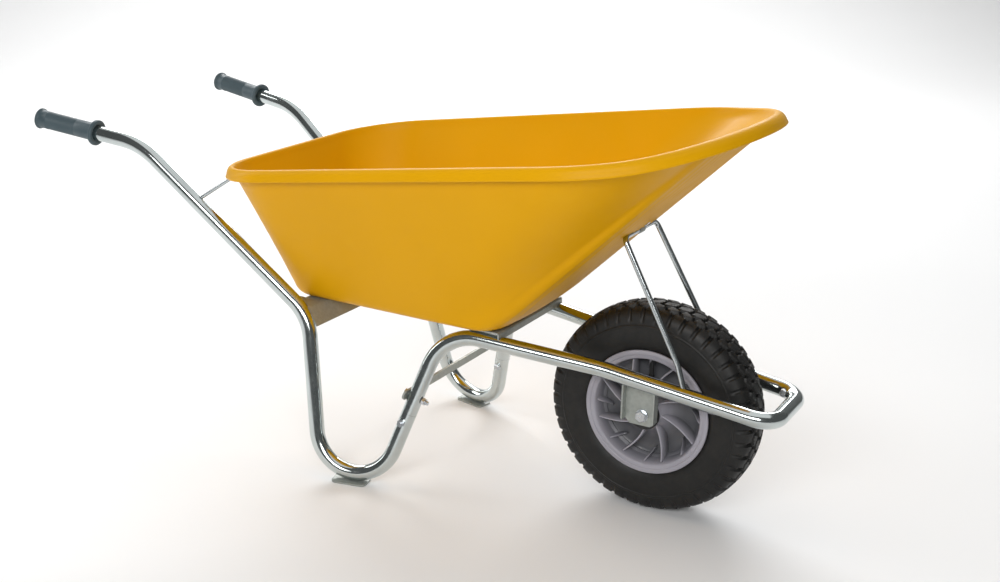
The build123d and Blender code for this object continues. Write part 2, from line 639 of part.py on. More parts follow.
# Wheel: sections are drawn with their first axis up from the wheel centre and their second along the axle
wheel_section = Plane(origin=wheel_centre, x_dir=(0, 0, 1), z_dir=(-1, 0, 0))
wheel_axis = Axis(wheel_centre, (0, 1, 0))
flange_radius = RIM_FLANGE_OD / 2
seat_radius = BEAD_SEAT_OD / 2
well_radius = seat_radius - WELL_DEPTH
rim_half = RIM_WIDTH / 2
with BuildPart() as wheel_rim:
    with BuildSketch(wheel_section):
        with BuildLine():
            half = [(flange_radius, rim_half), (flange_radius, rim_half - RIM_WALL),
                    (seat_radius + BEAD_TAPER, rim_half - FLANGE_ROOT),
                    (seat_radius, WELL_HALF_WIDTH + WELL_RAMP), (well_radius, WELL_HALF_WIDTH)]
            inner = [(well_radius - RIM_WALL, WELL_HALF_WIDTH + RIM_WALL / 2),
                     (seat_radius - RIM_WALL, WELL_HALF_WIDTH + WELL_RAMP + RIM_WALL / 2),
                     (seat_radius - RIM_WALL, rim_half - RIM_WALL), (flange_radius - FLANGE_ROOT, rim_half)]
            outside = half + [(r, -y) for r, y in reversed(half)]
            inside = [(r, -y) for r, y in reversed(inner)] + inner
            Polyline(*outside, *inside, close=True)
        make_face()
        with Locations(((HUB_OD + BUSH_OD) / 4, 0)):
            Rectangle((HUB_OD - BUSH_OD) / 2, HUB_LENGTH)
        with Locations(((HUB_OD / 2 + well_radius) / 2 - RIM_WALL / 2, 0)):
            Rectangle(well_radius - HUB_OD / 2, RIM_WALL)
    revolve(axis=wheel_axis)
    for side in (inward, outward_y):
        with BuildSketch(Plane(origin=wheel_centre, x_dir=(1, 0, 0), z_dir=side)) as ribs:
            for index in range(2 * RIB_COUNT):
                root = HUB_OD / 2 - BEAD_TAPER if index % 2 == 0 else SHORT_RIB_START
                tip = well_radius - RIM_WALL + BEAD_TAPER
                turn = index * 180 / RIB_COUNT + RIB_OFFSET
                twist = RIB_SWEEP if index % 2 == 0 else RIB_SWEEP / 3
                with BuildLine():
                    ThreePointArc(polar(root, turn), polar((root + tip) / 2, turn + RIB_BOW * twist),
                                  polar(tip, turn + twist))
                trace(line_width=RIB_THICKNESS)
        extrude(amount=RIB_DEPTH)
    add(pin(valve_root, down, VALVE_DIAMETER / 2 + HOLE_GAP, VALVE_LENGTH), mode=Mode.SUBTRACT)

with BuildPart() as tyre:
    with BuildSketch(wheel_section):
        with BuildLine():
            bead_radius = seat_radius + BEAD_TAPER + SEAT_GAP
            bead_face = rim_half - RIM_WALL - SEAT_GAP
            bead_toe = rim_half - FLANGE_ROOT - SEAT_GAP
            flank = [(flange_radius + BEAD_TAPER, bead_face),
                     (flange_radius + SIDEWALL_BULGE, TYRE_WIDTH / 2)]
            flank += [(TYRE_OD / 2 - depth, TYRE_WIDTH / 2 - inset) for depth, inset in SHOULDER]
            Line((bead_radius, bead_toe), flank[0])
            ThreePointArc(flank[0], flank[1], flank[2])
            ThreePointArc(flank[2], flank[3], flank[4])
            mirror(about=Plane.XZ)
            Line((bead_radius, -bead_toe), (bead_radius, bead_toe))
            ThreePointArc(flank[4], (TYRE_OD / 2, 0), (flank[4][0], -flank[4][1]))
        make_face()
        with Locations((cavity_centre, 0)):
            Ellipse(cavity_reach, cavity_half, mode=Mode.SUBTRACT)
        with Locations((seat_radius, 0)):
            Rectangle(4 * RIM_WALL, 2 * WELL_HALF_WIDTH, mode=Mode.SUBTRACT)
    revolve(axis=wheel_axis)

with BuildPart() as inner_tube:
    with BuildSketch(wheel_section):
        with Locations((cavity_centre, 0)):
            Ellipse(cavity_reach - SEAT_GAP, cavity_half - SEAT_GAP)
            Ellipse(cavity_reach - SEAT_GAP - INNER_TUBE_WALL, cavity_half - SEAT_GAP - INNER_TUBE_WALL,
                    mode=Mode.SUBTRACT)
    revolve(axis=wheel_axis)

with BuildPart() as valve_stem:
    add(ring(valve_root, down, VALVE_DIAMETER / 4, VALVE_DIAMETER / 2, VALVE_LENGTH))
with BuildPart() as valve_cap:
    add(pin(valve_root + down * (VALVE_LENGTH + SEAT_GAP), down, VALVE_DIAMETER / 2 + 1, VALVE_DIAMETER))

with BuildPart() as wheel_bushes:
    hub_face = wheel_centre + outward_y * (HUB_LENGTH / 2 + SEAT_GAP / 3)
    bore = AXLE_DIAMETER / 2 + RUNNING_GAP
    add(both_sides(ring(hub_face, outward_y, bore, BUSH_FLANGE_OD / 2, BUSH_FLANGE)))
    add(both_sides(ring(hub_face, inward, bore, BUSH_OD / 2 - RUNNING_GAP, BUSH_LENGTH)))

pieces = {
    "tray": tray,
    "front_loop_tube": front_loop_tube,
    "right_handle_tube": right_handle_tube,
    "left_handle_tube": left_handle_tube,
    "right_grip": right_grip,
    "left_grip": left_grip,
    "rear_crossmember": rear_crossmember,
    "front_crossmember": front_crossmember,
    "leg_brace": leg_brace,
    "right_foot_skid": right_foot_skid,
    "left_foot_skid": left_foot_skid,
    "front_tray_strut": front_tray_strut,
    "strut_clamp": strut_clamp,
    "right_tray_stay": right_tray_stay,
    "left_tray_stay": left_tray_stay,
    "right_wheel_bracket": right_wheel_bracket,
    "left_wheel_bracket": left_wheel_bracket,
    "axle_bolt": axle_bolt,
    "axle_nut": axle_nut,
    "axle_washers": axle_washers,
    "axle_sleeves": axle_sleeves,
    "tray_bolts": tray_bolts,
    "tray_washers": tray_washers,
    "tray_nuts": tray_nuts,
    "leg_joint_bolts": leg_joint_bolts,
    "leg_joint_nuts": leg_joint_nuts,
    "brace_bolts": brace_bolts,
    "brace_nuts": brace_nuts,
    "nose_rivets": nose_rivets,
    "strut_clamp_bolt": strut_clamp_bolt,
    "strut_clamp_nut": strut_clamp_nut,
    "wheel_rim": wheel_rim,
    "tyre": tyre,
    "inner_tube": inner_tube,
    "valve_stem": valve_stem,
    "valve_cap": valve_cap,
    "wheel_bushes": wheel_bushes,
}
for name, piece in pieces.items():
    piece.part.label = name
    export_step(piece.part, f"parts/{name}.step")
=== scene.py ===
"""The looks of a steel-tube wheelbarrow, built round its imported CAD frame.

Metres, +X towards the nose, +Y to the barrow's left, +Z up.
"""

import json
import math

import bpy
from mathutils import Matrix, Vector


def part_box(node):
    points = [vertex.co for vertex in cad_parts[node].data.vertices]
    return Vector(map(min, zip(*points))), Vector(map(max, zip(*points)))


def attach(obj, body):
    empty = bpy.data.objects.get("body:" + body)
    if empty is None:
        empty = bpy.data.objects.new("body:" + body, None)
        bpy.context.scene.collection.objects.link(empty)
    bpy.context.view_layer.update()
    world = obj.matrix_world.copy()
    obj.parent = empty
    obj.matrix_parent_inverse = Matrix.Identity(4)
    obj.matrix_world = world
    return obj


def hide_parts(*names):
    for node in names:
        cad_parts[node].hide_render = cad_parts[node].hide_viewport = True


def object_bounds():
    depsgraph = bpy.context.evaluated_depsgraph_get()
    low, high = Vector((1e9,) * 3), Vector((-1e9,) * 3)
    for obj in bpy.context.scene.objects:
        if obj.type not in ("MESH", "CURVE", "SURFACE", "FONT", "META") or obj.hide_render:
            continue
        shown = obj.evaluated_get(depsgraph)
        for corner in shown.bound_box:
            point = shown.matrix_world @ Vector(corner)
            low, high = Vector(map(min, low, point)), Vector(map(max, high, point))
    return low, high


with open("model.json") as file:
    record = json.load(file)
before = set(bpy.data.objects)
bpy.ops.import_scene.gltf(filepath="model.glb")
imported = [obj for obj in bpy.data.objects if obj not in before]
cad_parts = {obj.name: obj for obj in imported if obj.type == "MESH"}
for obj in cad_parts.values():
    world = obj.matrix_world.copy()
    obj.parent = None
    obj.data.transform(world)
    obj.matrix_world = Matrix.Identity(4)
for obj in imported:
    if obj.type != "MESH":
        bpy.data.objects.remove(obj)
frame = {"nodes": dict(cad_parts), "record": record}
cad_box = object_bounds()
nodes = frame["nodes"]
UP = Vector((0, 0, 1))


# ---------------------------------------------------------------- small helpers
def lerp(a, b, t):
    return a + (b - a) * t


def smoothstep(low, high, value):
    t = min(1.0, max(0.0, (value - low) / (high - low)))
    return t * t * (3 - 2 * t)


def centre(node):
    low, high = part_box(node)
    return (low + high) / 2


def make_piece(name, points, faces, material, smooth_angle=40):
    """A mesh object with outward normals, smooth except at edges sharper than the angle."""
    mesh = bpy.data.meshes.new(name)
    mesh.from_pydata([tuple(p) for p in points], [], faces)
    mesh.validate()
    mesh.materials.append(material)
    obj = bpy.data.objects.new(name, mesh)
    bpy.context.scene.collection.objects.link(obj)
    bpy.context.view_layer.objects.active = obj
    obj.select_set(True)
    bpy.ops.object.mode_set(mode="EDIT")
    bpy.ops.mesh.select_all(action="SELECT")
    bpy.ops.mesh.normals_make_consistent(inside=False)
    bpy.ops.object.mode_set(mode="OBJECT")
    obj.select_set(False)
    mesh.shade_smooth()
    mesh.set_sharp_from_angle(angle=math.radians(smooth_angle))
    return obj


def loft(rows, closed_rows=True, cap_start=False, cap_end=False, closed_loft=False):
    """Points and faces of a surface through rows that all have the same number of points."""
    count = len(rows[0])
    points = [p for row in rows for p in row]
    faces = []
    last = len(rows) if closed_loft else len(rows) - 1
    steps = count if closed_rows else count - 1
    for i in range(last):
        here, there = i * count, (i + 1) % len(rows) * count
        for j in range(steps):
            k = (j + 1) % count
            faces.append((here + j, here + k, there + k, there + j))
    if cap_start:
        faces.append(tuple(range(count)))
    if cap_end:
        faces.append(tuple((len(rows) - 1) * count + j for j in range(count)))
    return points, faces


def merge(parts):
    """Several (points, faces) pairs as one."""
    points, faces = [], []
    for some_points, some_faces in parts:
        base = len(points)
        points += some_points
        faces += [tuple(i + base for i in face) for face in some_faces]
    return points, faces


# ---------------------------------------------------------------- materials
class Shader:
    """A principled material with a few short ways to add nodes."""

    def __init__(self, name):
        self.material = bpy.data.materials.new(name)
        self.material.use_nodes = True
        self.tree = self.material.node_tree
        self.bsdf = self.tree.nodes["Principled BSDF"]
        self.coords = self.node("ShaderNodeTexCoord").outputs["Object"]

    def node(self, kind, **inputs):
        node = self.tree.nodes.new(kind)
        for key, value in inputs.items():
            node.inputs[key].default_value = value
        return node

    def link(self, output, target):
        self.tree.links.new(output, target)

    def stretched(self, scale):
        mapping = self.node("ShaderNodeMapping", Scale=scale)
        self.link(self.coords, mapping.inputs["Vector"])
        return mapping.outputs["Vector"]

    def noise(self, scale, detail=3.0, roughness=0.5, stretch=None):
        noise = self.node("ShaderNodeTexNoise", Scale=scale, Detail=detail, Roughness=roughness)
        self.link(self.stretched(stretch) if stretch else self.coords, noise.inputs["Vector"])
        return noise.outputs["Fac"]

    def between(self, factor, low, high, value_low, value_high):
        """Maps a factor's range to a range of values."""
        remap = self.node("ShaderNodeMapRange")
        ends = {"From Min": low, "From Max": high, "To Min": value_low, "To Max": value_high}
        for key, value in ends.items():
            remap.inputs[key].default_value = value
        self.link(factor, remap.inputs["Value"])
        return remap.outputs["Result"]

    def mix(self, factor, first, second):
        """A colour that goes from first to second; either may be a colour or another node's output."""
        mix = self.node("ShaderNodeMix")
        mix.data_type = "RGBA"
        self.link(factor, mix.inputs["Factor"])
        for socket, value in ((mix.inputs["A"], first), (mix.inputs["B"], second)):
            if isinstance(value, tuple):
                socket.default_value = (*value, 1.0)
            else:
                self.link(value, socket)
        return mix.outputs["Result"]

    def colour(self, output):
        self.link(output, self.bsdf.inputs["Base Color"])

    def roughness(self, output):
        self.link(output, self.bsdf.inputs["Roughness"])

    def bump(self, height, strength, distance):
        bump = self.node("ShaderNodeBump", Strength=strength, Distance=distance)
        self.link(height, bump.inputs["Height"])
        old = [link.from_socket for link in self.tree.links if link.to_socket == self.bsdf.inputs["Normal"]]
        if old:
            self.link(old[0], bump.inputs["Normal"])
        self.link(bump.outputs["Normal"], self.bsdf.inputs["Normal"])

    def set(self, **values):
        for key, value in values.items():
            self.bsdf.inputs[key.replace("_", " ")].default_value = value
        return self


def tray_plastic():
    """Yellow moulded plastic: a fine orange peel, faint flow marks and a few rubbed, paler patches."""
    s = Shader("tray_plastic")
    flow = s.between(s.noise(3.0, 2.0, stretch=(1.0, 1.0, 0.35)), 0.3, 0.7, 0.0, 1.0)
    body = s.mix(flow, (0.67, 0.330, 0.0006), (0.73, 0.362, 0.0012))
    rubbed = s.between(s.noise(9.0, 5.0, 0.6), 0.60, 0.78, 0.0, 0.22)
    s.colour(s.mix(rubbed, body, (0.77, 0.42, 0.010)))
    s.roughness(s.between(s.noise(26.0, 4.0), 0.25, 0.75, 0.34, 0.46))
    s.bump(s.noise(900.0, 2.0), 0.10, 0.0004)
    s.bump(s.noise(14.0, 2.0), 0.10, 0.002)
    return s.set(IOR=1.46, Specular_IOR_Level=0.13).material


def zinc(name, light, dark, rough_low, rough_high, streak):
    """Zinc plating: bright metal with slight streaks along the stock and a cloudy bloom."""
    s = Shader(name)
    cloud = s.between(s.noise(18.0, 4.0, 0.6), 0.3, 0.7, 0.0, 1.0)
    s.colour(s.mix(cloud, light, dark))
    s.roughness(s.between(s.noise(60.0, 5.0, 0.65), 0.3, 0.7, rough_low, rough_high))
    s.bump(s.noise(220.0, 2.0, stretch=(0.12, 1.0, 1.0)), streak, 0.0003)
    return s.set(Metallic=1.0).material


def spangled_plate():
    """Dull galvanised plate with its faint crystals."""
    s = Shader("spangled_plate")
    cells = s.node("ShaderNodeTexVoronoi", Scale=140.0)
    s.link(s.coords, cells.inputs["Vector"])
    tone = s.between(cells.outputs["Distance"], 0.0, 0.9, 0.0, 1.0)
    s.colour(s.mix(tone, (0.315, 0.335, 0.310), (0.385, 0.405, 0.380)))
    s.roughness(s.between(s.noise(40.0, 4.0), 0.3, 0.7, 0.42, 0.56))
    s.bump(s.noise(300.0, 3.0), 0.15, 0.0003)
    return s.set(Metallic=0.45).material


def tyre_rubber():
    """Black rubber, a little brown and dusty in random patches."""
    s = Shader("tyre_rubber")
    dust = s.between(s.noise(30.0, 6.0, 0.7), 0.42, 0.72, 0.0, 1.0)
    s.colour(s.mix(dust, (0.0048, 0.0047, 0.0043), (0.0125, 0.0115, 0.0100)))
    s.roughness(s.between(s.noise(80.0, 4.0), 0.3, 0.7, 0.46, 0.60))
    s.bump(s.noise(500.0, 3.0), 0.25, 0.0005)
    return s.set(IOR=1.5, Specular_IOR_Level=0.42).material


def plain_rubber():
    s = Shader("plain_rubber")
    s.colour(s.mix(s.noise(40.0), (0.012, 0.012, 0.012), (0.022, 0.021, 0.020)))
    s.roughness(s.between(s.noise(90.0), 0.3, 0.7, 0.5, 0.65))
    s.bump(s.noise(400.0), 0.15, 0.0004)
    return s.material


def rim_plastic():
    """Grey moulded nylon with a slight violet cast, soft flow marks and painted shade that darkens the deep
    dish.
    """
    s = Shader("rim_plastic")
    flow = s.between(s.noise(12.0, 3.0), 0.3, 0.7, 0.0, 1.0)
    body = s.mix(flow, (0.315, 0.305, 0.345), (0.375, 0.362, 0.405))
    # Painted shade: the colour goes nearly black towards the middle plane, deep in the dish, standing in for
    # the shade of the recess.
    split = s.node("ShaderNodeSeparateXYZ")
    s.link(s.coords, split.inputs["Vector"])
    depth = s.node("ShaderNodeMath")
    depth.operation = "ABSOLUTE"
    s.link(split.outputs["Y"], depth.inputs[0])
    dish = s.between(depth.outputs["Value"], 0.014, 0.040, 0.0, 1.0)
    s.colour(s.mix(dish, (0.085, 0.086, 0.094), body))
    s.roughness(s.between(s.noise(45.0, 4.0), 0.3, 0.7, 0.28, 0.40))
    s.bump(s.noise(500.0, 2.0), 0.12, 0.0003)
    return s.set(IOR=1.5).material


def grip_plastic():
    """Slate-grey vinyl with a fine matte grain."""
    s = Shader("grip_plastic")
    s.colour(s.mix(s.noise(25.0, 4.0), (0.050, 0.076, 0.088), (0.070, 0.100, 0.114)))
    s.roughness(s.between(s.noise(70.0, 4.0), 0.3, 0.7, 0.42, 0.56))
    s.bump(s.noise(900.0, 2.0), 0.35, 0.0004)
    return s.set(Specular_IOR_Level=0.32).material


def black_plastic():
    s = Shader("black_plastic")
    s.colour(s.mix(s.noise(30.0), (0.010, 0.010, 0.010), (0.018, 0.018, 0.018)))
    s.roughness(s.between(s.noise(80.0), 0.3, 0.7, 0.35, 0.5))
    s.bump(s.noise(600.0), 0.12, 0.0003)
    return s.material


TRAY_PLASTIC = tray_plastic()
ZINC_TUBE = zinc("zinc_tube", (0.60, 0.645, 0.64), (0.52, 0.56, 0.555), 0.09, 0.17, 0.06)
ZINC_ROD = zinc("zinc_rod", (0.56, 0.60, 0.61), (0.47, 0.50, 0.51), 0.14, 0.26, 0.08)
FASTENER = zinc("fastener_zinc", (0.62, 0.65, 0.68), (0.50, 0.52, 0.54), 0.22, 0.36, 0.15)
PLATE = spangled_plate()
TYRE_RUBBER = tyre_rubber()
PLAIN_RUBBER = plain_rubber()
RIM_PLASTIC = rim_plastic()
GRIP_PLASTIC = grip_plastic()
BLACK_PLASTIC = black_plastic()

SLOT_MATERIALS = {
    "tray": TRAY_PLASTIC,
    "zinc_tube": ZINC_TUBE,
    "zinc_rod": ZINC_ROD,
    "galvanised_plate": PLATE,
    "fastener": FASTENER,
    "grip": GRIP_PLASTIC,
    "rim": RIM_PLASTIC,
    "tyre": TYRE_RUBBER,
    "inner_tube": PLAIN_RUBBER,
    "bush": BLACK_PLASTIC,
}
for part in frame["record"]["subparts"]:
    mesh = nodes[part["node"]].data
    mesh.materials.clear()
    mesh.materials.append(SLOT_MATERIALS[part["material_slot"]])

# ---------------------------------------------------------------- places taken from the frame
AXLE = centre("tyre")
TRAY_LOW, TRAY_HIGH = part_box("tray")

# ---------------------------------------------------------------- tray
LIP = 0.014
RIM_RISE = 0.138
NOSE_LIFT = 0.0128
NOSE_LIFT_LENGTH = 0.135
NOSE_LIP_START = 0.02
NOSE_LIP_END = 0.15
WALL = 0.005
EDGE_TURN = 0.022
BELT_HALF_WIDTH = 0.150
BELT_RAISE = 0.003
BELT_FOLD = 0.014
BELT_RIB_PITCH = 0.01875
BELT_RIB_HEIGHT = 0.0012
BELT_COLUMNS = 40
WALL_ROWS = 26
EDGE_ROWS = 8
SIDE_POINTS = 96
REAR_CORNER_STEPS = 24
FRONT_CORNER_STEPS = 30
NOSE_STEPS = 60
FLOOR_ROWS = (0.12, 0.4, 0.7)

CREST = dict(front=TRAY_HIGH.x - AXLE.x - 0.001, rear=TRAY_LOW.x - AXLE.x + LIP, front_half=TRAY_HIGH.y - LIP,
             rear_half=TRAY_HIGH.y - LIP - 0.020, nose=0.360, front_corner=0.215, rear_corner=0.140)
FLOOR = dict(front=-0.262, rear=-0.734, front_half=0.152, rear_half=0.150, nose=1.100, front_corner=0.050,
             rear_corner=0.050)
# Each lip point is its distance outwards and its height, from the crest of the rim
SIDE_LIP = [(-0.0040, -0.010), (-0.0026, -0.004), (-0.0008, -0.001), (0.002, 0.0), (0.0055, -0.0010),
            (0.0090, -0.0036), (0.0115, -0.0080), (0.0128, -0.0130), (0.0134, -0.0165), (0.0146, -0.0185),
            (0.0150, -0.0205), (0.0140, -0.0220), (0.0122, -0.0210), (0.0105, -0.0150), (0.0080, -0.0075),
            (0.0045, -0.0055), (0.0008, -0.0100)]
NOSE_LIP = [(-0.0060, -0.010), (-0.0036, -0.0038), (-0.0008, -0.0007), (0.0025, 0.0), (0.0070, -0.0012),
            (0.0115, -0.0036), (0.0152, -0.0072), (0.0178, -0.0112), (0.0190, -0.0142), (0.0206, -0.0160),
            (0.0212, -0.0182), (0.0200, -0.0198), (0.0180, -0.0187), (0.0155, -0.0138), (0.0115, -0.0088),
            (0.0060, -0.0066), (0.0012, -0.0110)]


def quadratic(start, bend, end, t):
    """A point on the curve from start to end that heads for the bend."""
    return start.lerp(bend, t).lerp(bend.lerp(end, t), t)


def arc(cx, cy, radius, start, end, count):
    return [Vector((cx + radius * math.cos(lerp(start, end, i / count)),
                    cy + radius * math.sin(lerp(start, end, i / count)))) for i in range(count + 1)]


def half_outline(front, rear, front_half, rear_half, nose, front_corner, rear_corner):
    """Half of a tray outline, from the middle of the rear round the left side to the middle of the nose."""
    side_end = front - nose + math.sqrt(nose**2 - front_half**2)
    lean = math.atan2(front_half - rear_half, side_end - rear)
    rear_y = rear_half + math.tan(lean) * rear_corner - rear_corner / math.cos(lean)
    points = [Vector((rear, 0)), Vector((rear, rear_y / 2))]
    points += arc(rear + rear_corner, rear_y, rear_corner, math.pi, math.pi / 2 + lean, REAR_CORNER_STEPS)
    # The front corner's centre lies inside the side line and inside the nose arc by its own radius
    nose_x, reach = front - nose, nose - front_corner
    slope = math.tan(lean)
    offset = rear_half - slope * rear - front_corner / math.cos(lean)
    a, b, c = 1 + slope**2, slope * offset - nose_x, nose_x**2 + offset**2 - reach**2
    x = (-b + math.sqrt(b * b - a * c)) / a
    y = offset + slope * x
    turn = math.atan2(y, x - nose_x)
    points += arc(x, y, front_corner, math.pi / 2 + lean, turn, FRONT_CORNER_STEPS)
    points += arc(nose_x, 0, nose, turn, 0, NOSE_STEPS)
    return points


def resample(points, count):
    """Points evenly spaced along a line."""
    lengths = [0.0]
    for a, b in zip(points, points[1:]):
        lengths.append(lengths[-1] + (b - a).length)
    made, k = [], 0
    for i in range(count + 1):
        target = lengths[-1] * i / count
        while k < len(points) - 2 and lengths[k + 1] < target:
            k += 1
        span = lengths[k + 1] - lengths[k]
        made.append(points[k].lerp(points[k + 1], (target - lengths[k]) / span if span else 0.0))
    return made


def full_outline(sizes):
    """The whole outline as points: evenly spaced, but spaced evenly across the belt at the front."""
    half = half_outline(**sizes)
    cut = max(i for i, p in enumerate(half) if p.y > BELT_HALF_WIDTH and p.x > sizes["rear"] / 2)
    t = (half[cut].y - BELT_HALF_WIDTH) / (half[cut].y - half[cut + 1].y)
    edge = half[cut].lerp(half[cut + 1], t)
    left = resample(half[:cut + 1] + [edge], SIDE_POINTS)[:-1]
    nose = half[cut + 1:]
    line = [edge] + nose
    k = 0
    for i in range(BELT_COLUMNS + 1):
        y = BELT_HALF_WIDTH * (1 - i / BELT_COLUMNS)
        while k < len(line) - 2 and line[k + 1].y > y:
            k += 1
        drop = line[k].y - line[k + 1].y
        left.append(line[k].lerp(line[k + 1], (line[k].y - y) / drop if drop > 1e-9 else 0.0))
    right = [Vector((p.x, -p.y)) for p in reversed(left[1:-1])]
    return left + right


def outward_normals(outline):
    count = len(outline)
    made = []
    for i in range(count):
        along = outline[(i + 1) % count] - outline[i - 1]
        made.append(Vector((-along.y, along.x)).normalized())
    return made


def crest_height(x):
    lift = NOSE_LIFT * max(0.0, x / NOSE_LIFT_LENGTH) ** 2
    return TRAY_HIGH.z - RIM_RISE * (TRAY_HIGH.x - AXLE.x - x) + lift


def build_tray():
    crest = full_outline(CREST)
    floor = full_outline(FLOOR)
    crest_out = outward_normals(crest)
    floor_out = outward_normals(floor)
    count = len(crest)
    nose_share = [smoothstep(NOSE_LIP_START, NOSE_LIP_END, p.x) for p in crest]
    heights = [crest_height(p.x) for p in crest]

    def point(plan, z):
        return Vector((AXLE.x + plan.x, plan.y, z))

    def lip_row(k):
        row = []
        for j in range(count):
            out = lerp(SIDE_LIP[k][0], NOSE_LIP[k][0], nose_share[j])
            rise = lerp(SIDE_LIP[k][1], NOSE_LIP[k][1], nose_share[j])
            row.append(point(crest[j] + crest_out[j] * out, heights[j] + rise))
        return row

    def belt(j, share):
        """How far the outside of the belt stands out, ribs included."""
        if crest[j].x < 0:
            return 0.0
        side = abs(crest[j].y)
        ends = smoothstep(0.0, 0.06, share) * (1 - smoothstep(0.94, 1.0, share))
        ridge = max(0.0, math.cos(2 * math.pi * side / BELT_RIB_PITCH)) ** 3
        inside = 1 - smoothstep(BELT_HALF_WIDTH - BELT_FOLD, BELT_HALF_WIDTH, side)
        return (BELT_RAISE * inside + BELT_RIB_HEIGHT * ridge * inside) * ends

    def wall_rows(top, inset, base_z, ribs):
        """Rows from the flat of the floor, round its edge and up the wall, to just under the lip."""
        rows = []
        bases = [point(floor[j] - floor_out[j] * inset, base_z) for j in range(count)]
        slopes = [(top[j] - bases[j]) for j in range(count)]
        turn = EDGE_TURN - inset / 2
        inner = [bases[j] - Vector((*floor_out[j], 0)) * turn for j in range(count)]
        upper = [bases[j] + slopes[j].normalized() * turn for j in range(count)]
        middle = point(Vector(((FLOOR["front"] + FLOOR["rear"]) / 2, 0)), base_z)
        rows += [[middle.lerp(p, share) for p in inner] for share in FLOOR_ROWS]
        for i in range(EDGE_ROWS):
            t = i / (EDGE_ROWS - 1)
            rows.append([quadratic(inner[j], bases[j], upper[j], t) for j in range(count)])
        for i in range(1, WALL_ROWS):
            share = i / WALL_ROWS
            row = []
            for j in range(count):
                p = upper[j].lerp(top[j], share)
                if ribs:
                    out = Vector((crest_out[j].x, crest_out[j].y, -1.0)).normalized()
                    p = p + out * belt(j, share)
                row.append(p)
            rows.append(row)
        return rows

    lip = [lip_row(k) for k in range(len(SIDE_LIP))]
    inside = wall_rows(lip[0], WALL, TRAY_LOW.z + WALL, False)
    outside = wall_rows(lip[-1], 0.0, TRAY_LOW.z, True)
    rows = inside + lip + list(reversed(outside))
    points, faces = loft(rows, cap_start=True, cap_end=True)
    tray = make_piece("tray_shell", points, faces, TRAY_PLASTIC, 60)
    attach(tray, "frame")
    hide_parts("tray")


build_tray()

# ---------------------------------------------------------------- tyre
PITCHES = 46
STEPS = 14
TREAD_DEPTH = 0.0058
# Half of the tyre's section: each point is a radius and a distance from the middle plane
SIDEWALL = [(0.1075, 0.0385), (0.1130, 0.0405), (0.1180, 0.0415), (0.1215, 0.0440), (0.1270, 0.0470),
            (0.1340, 0.0490), (0.1420, 0.0499), (0.1500, 0.0502), (0.1580, 0.0500), (0.1625, 0.0496),
            (0.1636, 0.0503), (0.1650, 0.0506), (0.1664, 0.0501), (0.1675, 0.0488)]
SHOULDER = [(0.1710, 0.0486), (0.1750, 0.0481), (0.1790, 0.0472), (0.1825, 0.0460), (0.1855, 0.0445),
            (0.1880, 0.0428), (0.1902, 0.0408), (0.1920, 0.0387)]
CROWN_RADIUS = 0.200
CROWN_EDGE = 0.0370
CROWN_DROP = 0.0070
CROWN_ROWS = 19
# The tread's two zigzag grooves on each side of the middle, in millimetres
INNER_GROOVE = 11.0
OUTER_GROOVE = 25.5
ZIGZAG = 2.6
GROOVE_HALF_WIDTH = 1.7
GROOVE_EDGE = 1.6


def wave(phase):
    """A triangle wave from -1 to 1."""
    return 4 * abs((phase % 1.0) - 0.5) - 1


def trench(distance, half_width, edge):
    """1 in a groove, 0 outside it, from the distance to its middle line."""
    return 1 - smoothstep(half_width - edge / 2, half_width + edge / 2, abs(distance))


def gap(phase, middle):
    """The signed distance of a phase from a groove's middle, in pitches."""
    return (phase - middle + 0.5) % 1.0 - 0.5


def tread_cut(side, phase):
    """How deep the tread is cut, from 0 to 1, at a distance from the middle plane."""
    side_mm, y = abs(side) * 1000, side * 1000
    inner = side_mm - INNER_GROOVE - ZIGZAG * wave(phase + (0.5 if y > 0 else 0.0))
    outer = side_mm - OUTER_GROOVE - ZIGZAG * wave(phase + (0.0 if y > 0 else 0.5))
    inner = trench(inner, GROOVE_HALF_WIDTH, GROOVE_EDGE)
    outer = trench(outer, GROOVE_HALF_WIDTH, GROOVE_EDGE)
    if side_mm < 11.5:
        cross = trench(gap(phase + 0.010 * y, 0.25), 0.085, 0.07)
    elif side_mm < 26:
        cross = trench(gap(phase + (0.5 if y > 0 else 0.0) - 0.012 * side_mm, 0.60), 0.090, 0.07)
    else:
        cross = trench(gap(phase + (0.5 if y > 0 else 0.0), 0.18), 0.115, 0.08)
    return max(inner, outer, cross)


def build_tyre():
    half = [(r, y, 0.0) for r, y in SIDEWALL]
    for i, (r, y) in enumerate(SHOULDER):
        half.append((r, y, smoothstep(-0.5, 3.0, i)))
    crown = []
    for i in range(CROWN_ROWS):
        y = CROWN_EDGE * (1 - i / (CROWN_ROWS - 0.5))
        crown.append((CROWN_RADIUS - CROWN_DROP * (y / CROWN_EDGE) ** 2.6, y, 1.0))
    half += crown
    section = half + [(r, -y, depth) for r, y, depth in reversed(half)]
    rows = []
    total = PITCHES * STEPS
    for i in range(total):
        angle = 2 * math.pi * i / total
        row = []
        for r, y, depth in section:
            radius, side = r, y
            if depth:
                cut = depth * TREAD_DEPTH * tread_cut(y, i / STEPS)
                inward = smoothstep(0.030, 0.046, abs(y))
                radius -= cut * (1 - 0.75 * inward)
                side -= math.copysign(cut * 0.5 * inward, y)
            row.append(Vector((AXLE.x + radius * math.cos(angle), side, AXLE.z + radius * math.sin(angle))))
        rows.append(row)
    points, faces = loft(rows, closed_rows=True, closed_loft=True)
    tyre = make_piece("tyre_tread", points, faces, TYRE_RUBBER, 35)
    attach(tyre, "wheel")
    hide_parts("tyre")


build_tyre()

# ---------------------------------------------------------------- wheel rim
RIM_SEGMENTS = 144
